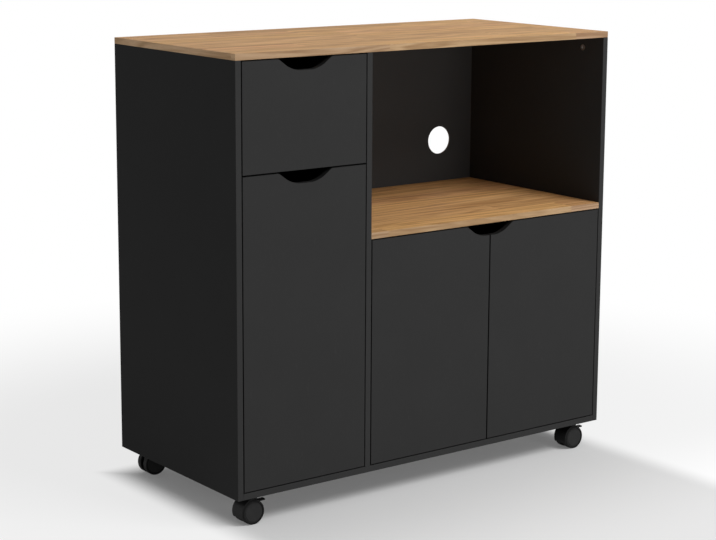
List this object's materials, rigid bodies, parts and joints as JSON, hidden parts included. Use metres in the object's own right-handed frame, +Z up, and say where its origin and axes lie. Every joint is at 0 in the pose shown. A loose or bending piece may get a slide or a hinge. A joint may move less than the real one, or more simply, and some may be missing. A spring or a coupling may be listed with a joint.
{
  "type": "microwave stand with drawer",
  "caption": "Low kitchen cabinet on swivel casters: open appliance niche, drawer over a door, pair of doors, finger-notch fronts and a wood-look top.",
  "frame": {"origin": "on the floor under the middle of the stand's footprint", "axes": "+X to the right seen from the front, +Y from the front to the back, +Z up"},
  "size_m": [0.9, 0.42, 0.87],
  "materials": {
    "black_board": "satin melamine, charcoal black",
    "oak_board": "satin wood-look foil with a grain along X",
    "hardboard": "black-faced thin hardboard",
    "nylon": "black moulded nylon",
    "zinc": "bright zinc plate",
    "runner_steel": "white epoxy-coated steel",
    "beech": "plain beech"
  },
  "bodies": {
    "root": {"top_panel": "oak_board", "left_side": "black_board", "right_side": "black_board", "divider": "black_board", "bottom_panel": "black_board", "niche_shelf": "oak_board", "drawer_rail": "black_board", "left_back": "hardboard", "right_back": "hardboard", "left_shelf": "black_board", "right_shelf": "black_board", "shelf_pins": "zinc", "cams": "zinc", "cam_bolts": "zinc", "dowels": "beech", "cabinet_runners": "runner_steel", "runner_screws": "zinc", "hinge_plates": "zinc", "hinge_arms": "zinc", "hinge_screws": "zinc", "caster_plates": "zinc", "caster_stems": "zinc", "caster_screws": "zinc"},
    "drawer": {"drawer_front": "black_board", "drawer_left_side": "black_board", "drawer_right_side": "black_board", "drawer_back": "black_board", "drawer_bottom": "hardboard", "drawer_cams": "zinc", "drawer_bolts": "zinc", "drawer_screws": "zinc", "drawer_runners": "runner_steel", "drawer_runner_screws": "zinc"},
    "front_rollers": {"front_rollers": "nylon"},
    "rear_rollers": {"rear_rollers": "nylon"},
    "left_door": {"left_door": "black_board", "left_door_cups": "zinc"},
    "middle_door": {"middle_door": "black_board", "middle_door_cups": "zinc"},
    "right_door": {"right_door": "black_board", "right_door_cups": "zinc"},
    "front_left_swivel": {"front_left_hood": "nylon", "front_left_axle": "zinc"},
    "front_left_wheel_outer": {"front_left_wheel_outer": "nylon"},
    "front_left_wheel_inner": {"front_left_wheel_inner": "nylon"},
    "front_left_brake": {"front_left_brake": "nylon"},
    "front_right_swivel": {"front_right_hood": "nylon", "front_right_axle": "zinc"},
    "front_right_wheel_outer": {"front_right_wheel_outer": "nylon"},
    "front_right_wheel_inner": {"front_right_wheel_inner": "nylon"},
    "front_right_brake": {"front_right_brake": "nylon"},
    "back_left_swivel": {"back_left_hood": "nylon", "back_left_axle": "zinc"},
    "back_left_wheel_outer": {"back_left_wheel_outer": "nylon"},
    "back_left_wheel_inner": {"back_left_wheel_inner": "nylon"},
    "back_right_swivel": {"back_right_hood": "nylon", "back_right_axle": "zinc"},
    "back_right_wheel_outer": {"back_right_wheel_outer": "nylon"},
    "back_right_wheel_inner": {"back_right_wheel_inner": "nylon"}
  },
  "joints": [
    {"name": "drawer_slide", "type": "slide", "parent": "root", "child": "drawer", "axis": [0, -1, 0], "range_m": [0, 0.26]},
    {"name": "front_roller_spin", "type": "hinge", "parent": "root", "child": "front_rollers", "pos_m": [-0.43, -0.184, 0.6848], "axis": [1, 0, 0], "continuous": true},
    {"name": "rear_roller_spin", "type": "hinge", "parent": "drawer", "child": "rear_rollers", "pos_m": [-0.43, 0.14, 0.6867], "axis": [1, 0, 0], "continuous": true},
    {"name": "left_door_hinge", "type": "hinge", "parent": "root", "child": "left_door", "pos_m": [-0.4365, -0.21, 0.36], "axis": [0, 0, -1], "range_deg": [0, 95]},
    {"name": "middle_door_hinge", "type": "hinge", "parent": "root", "child": "middle_door", "pos_m": [-0.147, -0.21, 0.288], "axis": [0, 0, -1], "range_deg": [0, 95]},
    {"name": "right_door_hinge", "type": "hinge", "parent": "root", "child": "right_door", "pos_m": [0.4365, -0.21, 0.288], "axis": [0, 0, 1], "range_deg": [0, 95]},
    {"name": "front_left_swivel", "type": "hinge", "parent": "root", "child": "front_left_swivel", "pos_m": [-0.403, -0.18, 0.05], "axis": [0, 0, 1], "continuous": true},
    {"name": "front_left_wheel_outer_spin", "type": "hinge", "parent": "front_left_swivel", "child": "front_left_wheel_outer", "pos_m": [-0.407, -0.18, 0.0235], "axis": [0, 1, 0], "continuous": true},
    {"name": "front_left_wheel_inner_spin", "type": "hinge", "parent": "front_left_swivel", "child": "front_left_wheel_inner", "pos_m": [-0.407, -0.18, 0.0235], "axis": [0, 1, 0], "continuous": true},
    {"name": "front_left_brake_press", "type": "hinge", "parent": "front_left_swivel", "child": "front_left_brake", "pos_m": [-0.393, -0.18, 0.036], "axis": [0, 1, 0], "range_deg": [0, 9]},
    {"name": "front_right_swivel", "type": "hinge", "parent": "root", "child": "front_right_swivel", "pos_m": [0.403, -0.18, 0.05], "axis": [0, 0, 1], "continuous": true},
    {"name": "front_right_wheel_outer_spin", "type": "hinge", "parent": "front_right_swivel", "child": "front_right_wheel_outer", "pos_m": [0.399, -0.18, 0.0235], "axis": [0, 1, 0], "continuous": true},
    {"name": "front_right_wheel_inner_spin", "type": "hinge", "parent": "front_right_swivel", "child": "front_right_wheel_inner", "pos_m": [0.399, -0.18, 0.0235], "axis": [0, 1, 0], "continuous": true},
    {"name": "front_right_brake_press", "type": "hinge", "parent": "front_right_swivel", "child": "front_right_brake", "pos_m": [0.413, -0.18, 0.036], "axis": [0, 1, 0], "range_deg": [0, 9]},
    {"name": "back_left_swivel", "type": "hinge", "parent": "root", "child": "back_left_swivel", "pos_m": [-0.403, 0.18, 0.05], "axis": [0, 0, 1], "continuous": true},
    {"name": "back_left_wheel_outer_spin", "type": "hinge", "parent": "back_left_swivel", "child": "back_left_wheel_outer", "pos_m": [-0.399, 0.18, 0.0235], "axis": [0, 1, 0], "continuous": true},
    {"name": "back_left_wheel_inner_spin", "type": "hinge", "parent": "back_left_swivel", "child": "back_left_wheel_inner", "pos_m": [-0.399, 0.18, 0.0235], "axis": [0, 1, 0], "continuous": true},
    {"name": "back_right_swivel", "type": "hinge", "parent": "root", "child": "back_right_swivel", "pos_m": [0.403, 0.18, 0.05], "axis": [0, 0, 1], "continuous": true},
    {"name": "back_right_wheel_outer_spin", "type": "hinge", "parent": "back_right_swivel", "child": "back_right_wheel_outer", "pos_m": [0.407, 0.18, 0.0235], "axis": [0, 1, 0], "continuous": true},
    {"name": "back_right_wheel_inner_spin", "type": "hinge", "parent": "back_right_swivel", "child": "back_right_wheel_inner", "pos_m": [0.407, 0.18, 0.0235], "axis": [0, 1, 0], "continuous": true}
  ],
  "couplings": [
    {"joint": "front_roller_spin", "follows": "drawer_slide", "rad_per_m": 101.01},
    {"joint": "rear_roller_spin", "follows": "drawer_slide", "rad_per_m": 101.01}
  ]
}
